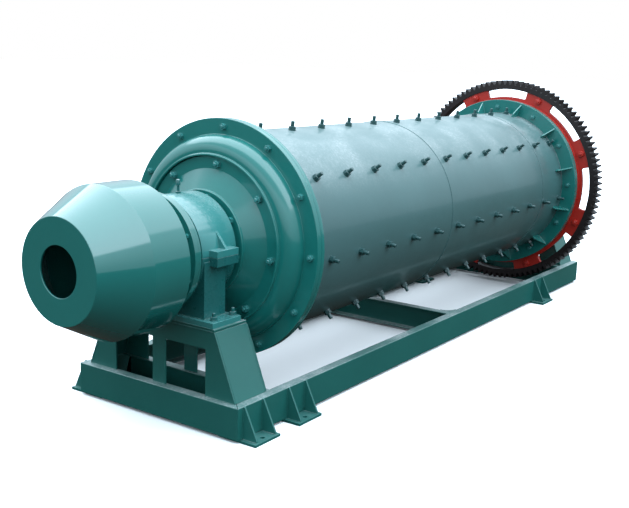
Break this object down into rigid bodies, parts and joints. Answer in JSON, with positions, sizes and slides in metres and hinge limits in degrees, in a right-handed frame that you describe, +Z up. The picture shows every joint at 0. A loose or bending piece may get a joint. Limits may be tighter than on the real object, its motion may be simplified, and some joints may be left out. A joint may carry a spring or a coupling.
{
  "type": "ball mill",
  "caption": "Horizontal grinding drum on two trunnion bearings over a welded channel frame, with a feed drum at one end and a ring gear at the other.",
  "frame": {"origin": "on the ground under the middle of the overall length, below the mill's axis", "axes": "+X along the mill's axis from the feed end to the gear end, +Z up, the near side is -Y"},
  "size_m": [6.96, 2.2, 2.25],
  "materials": {
    "mill_paint": "glossy blue-green machine enamel",
    "frame_paint": "semi-gloss darker blue-green enamel",
    "web_paint": "red primer enamel",
    "gear_steel": "dark oiled cast steel"
  },
  "bodies": {
    "root": {"side_beam_near": "frame_paint", "side_beam_far": "frame_paint", "front_beam": "frame_paint", "rear_beam": "frame_paint", "inner_beam_front": "frame_paint", "inner_beam_rear": "frame_paint", "middle_cross_beam": "frame_paint", "middle_haunches": "frame_paint", "first_foot_near": "frame_paint", "first_foot_far": "frame_paint", "second_foot_near": "frame_paint", "second_foot_far": "frame_paint", "third_foot_near": "frame_paint", "third_foot_far": "frame_paint", "front_stand_outer_wall": "frame_paint", "front_stand_inner_wall": "frame_paint", "front_stand_sides": "frame_paint", "front_stand_top": "frame_paint", "front_sole_plate": "frame_paint", "front_bearing_base": "mill_paint", "front_bearing_cap": "mill_paint", "rear_stand_outer_wall": "frame_paint", "rear_stand_inner_wall": "frame_paint", "rear_stand_sides": "frame_paint", "rear_stand_top": "frame_paint", "rear_sole_plate": "frame_paint", "rear_bearing_base": "mill_paint", "rear_bearing_cap": "mill_paint"},
    "mill": {"feed_drum_face": "mill_paint", "feed_drum_barrel": "mill_paint", "feed_drum_back": "mill_paint", "front_hub": "mill_paint", "front_journal": "mill_paint", "front_head": "mill_paint", "front_shell_flange": "mill_paint", "shell_course_1": "mill_paint", "shell_course_2": "mill_paint", "shell_course_3": "mill_paint", "rear_shell_flange": "mill_paint", "rear_head": "mill_paint", "rear_hub": "mill_paint", "rear_journal": "mill_paint", "discharge_mouth": "mill_paint", "gear_web": "web_paint", "gear_rim": "gear_steel"}
  },
  "joints": [
    {"name": "mill_spin", "type": "hinge", "parent": "root", "child": "mill", "pos_m": [0, 0, 1.15], "axis": [1, 0, 0], "continuous": true}
  ]
}
